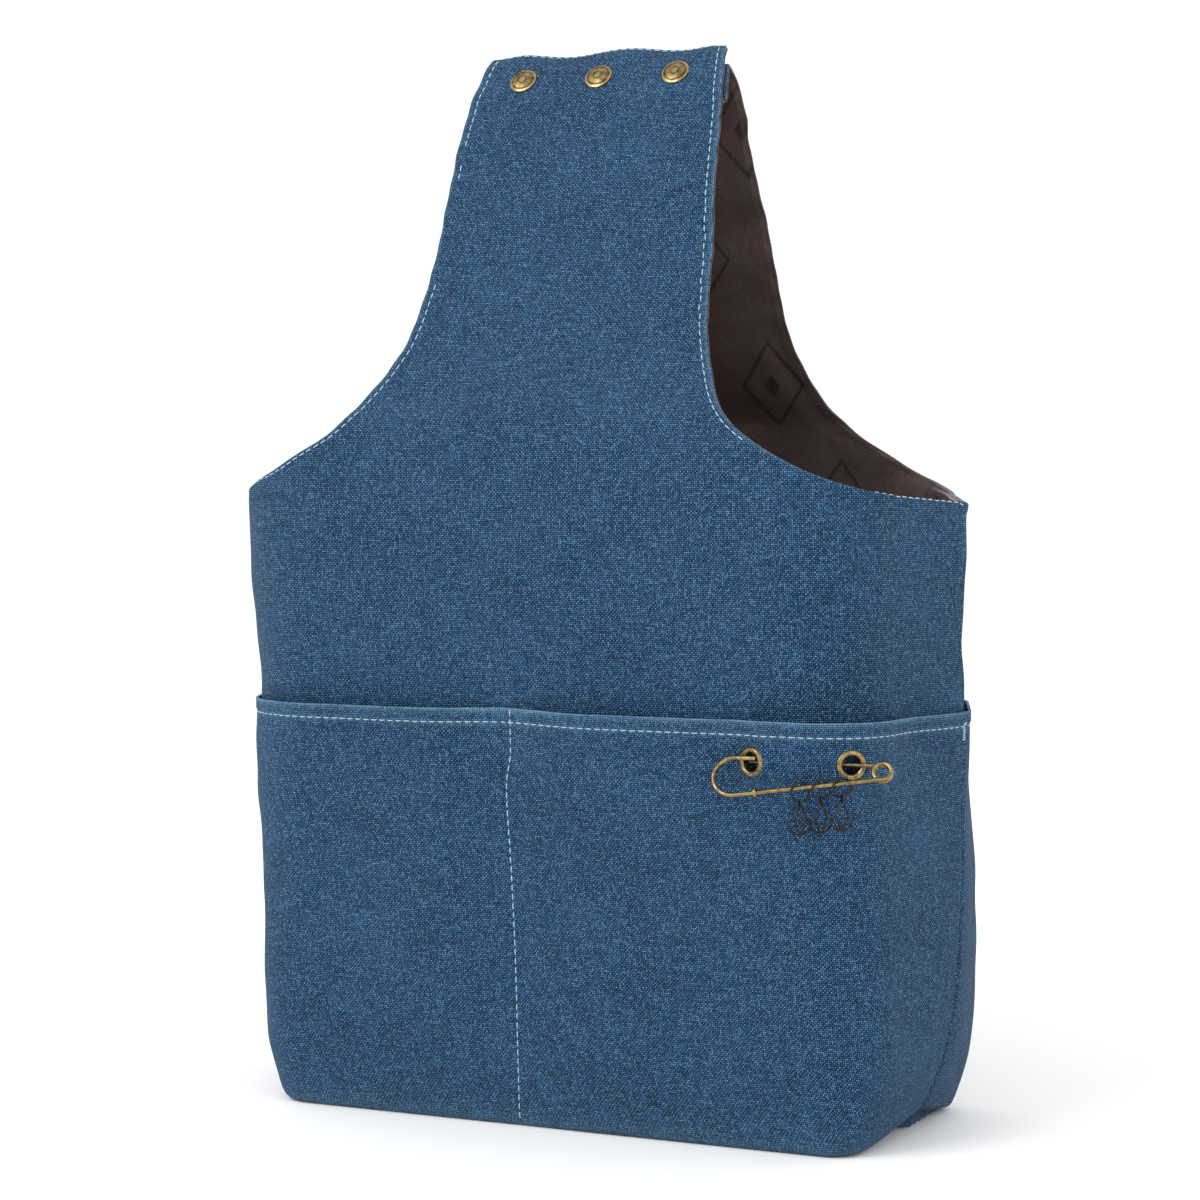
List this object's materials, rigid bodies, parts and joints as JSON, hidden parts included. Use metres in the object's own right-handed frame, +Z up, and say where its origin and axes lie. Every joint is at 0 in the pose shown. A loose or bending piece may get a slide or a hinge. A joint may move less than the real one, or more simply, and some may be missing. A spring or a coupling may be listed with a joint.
{
  "type": "knitting bag",
  "caption": "Canvas wrist bag for knitting: two straps that snap together over an open mouth, front and back slip pockets, and a kilt pin with stitch markers.",
  "frame": {"origin": "centre of the flat underside, on the bottom seam", "axes": "+Z up, +X across the bag towards the side with the kilt pin, front faces -Y"},
  "size_m": [0.35, 0.1681, 0.472],
  "materials": {
    "canvas": "washed blue cotton canvas, plain weave",
    "satin_lining": "brown satin, soft sheen",
    "antique_brass": "antique brass, darkened in the recesses",
    "dark_bronze": "dark bronze wire"
  },
  "bodies": {
    "root": {"front_panel": "canvas", "back_panel": "canvas", "front_lining": "satin_lining", "back_lining": "satin_lining", "front_pocket": "canvas", "back_pocket": "canvas", "snap_stud_1": "antique_brass", "snap_stud_2": "antique_brass", "snap_stud_3": "antique_brass", "snap_post_1": "antique_brass", "snap_post_2": "antique_brass", "snap_post_3": "antique_brass", "eyelet_left": "antique_brass", "eyelet_right": "antique_brass", "eyelet_washer_left": "antique_brass", "eyelet_washer_right": "antique_brass"},
    "strap_flap": {"front_strap_end": "canvas", "front_strap_end_lining": "satin_lining", "snap_cap_1": "antique_brass", "snap_cap_2": "antique_brass", "snap_cap_3": "antique_brass", "snap_socket_1": "antique_brass", "snap_socket_2": "antique_brass", "snap_socket_3": "antique_brass"},
    "pin": {"pin_frame": "antique_brass", "pin_collar": "antique_brass"},
    "needle": {"pin_needle": "antique_brass"},
    "ring_1": {"jump_ring_1": "dark_bronze"},
    "marker_1": {"stitch_marker_1": "dark_bronze"},
    "ring_2": {"jump_ring_2": "dark_bronze"},
    "marker_2": {"stitch_marker_2": "dark_bronze"},
    "ring_3": {"jump_ring_3": "dark_bronze"},
    "marker_3": {"stitch_marker_3": "dark_bronze"}
  },
  "joints": [
    {"name": "flap_fold", "type": "hinge", "parent": "root", "child": "strap_flap", "pos_m": [0, -0.0216, 0.43], "axis": [1, 0, 0], "range_deg": [0, 150]},
    {"name": "pin_swing", "type": "hinge", "parent": "root", "child": "pin", "pos_m": [0.10114, -0.07768, 0.166], "axis": [-0.9907, -0.1357, 0], "range_deg": [0, 24]},
    {"name": "needle_spring", "type": "hinge", "parent": "pin", "child": "needle", "pos_m": [0.15619, -0.07212, 0.16298], "axis": [0.1138, -0.8309, 0.5446], "range_deg": [0, 0.25], "stiffness_Nm_per_rad": 0.05, "springref_deg": -2.86},
    {"name": "ring_swing_1", "type": "hinge", "parent": "pin", "child": "ring_1", "pos_m": [0.12448, -0.08303, 0.15681], "axis": [-0.9679, -0.2164, -0.1279], "range_deg": [-4, 22]},
    {"name": "marker_swing_1", "type": "hinge", "parent": "ring_1", "child": "marker_1", "pos_m": [0.12448, -0.08303, 0.15121], "axis": [-0.7902, -0.6129, 0], "range_deg": [-4, 20]},
    {"name": "ring_swing_2", "type": "hinge", "parent": "pin", "child": "ring_2", "pos_m": [0.1329, -0.08115, 0.15793], "axis": [-0.9679, -0.2164, -0.1279], "range_deg": [-4, 22]},
    {"name": "marker_swing_2", "type": "hinge", "parent": "ring_2", "child": "marker_2", "pos_m": [0.1329, -0.08115, 0.15232], "axis": [-0.7902, -0.6129, 0], "range_deg": [-4, 20]},
    {"name": "ring_swing_3", "type": "hinge", "parent": "pin", "child": "ring_3", "pos_m": [0.14132, -0.07927, 0.15904], "axis": [-0.9679, -0.2164, -0.1279], "range_deg": [-4, 22]},
    {"name": "marker_swing_3", "type": "hinge", "parent": "ring_3", "child": "marker_3", "pos_m": [0.14132, -0.07927, 0.15344], "axis": [-0.7902, -0.6129, 0], "range_deg": [-4, 20]}
  ]
}
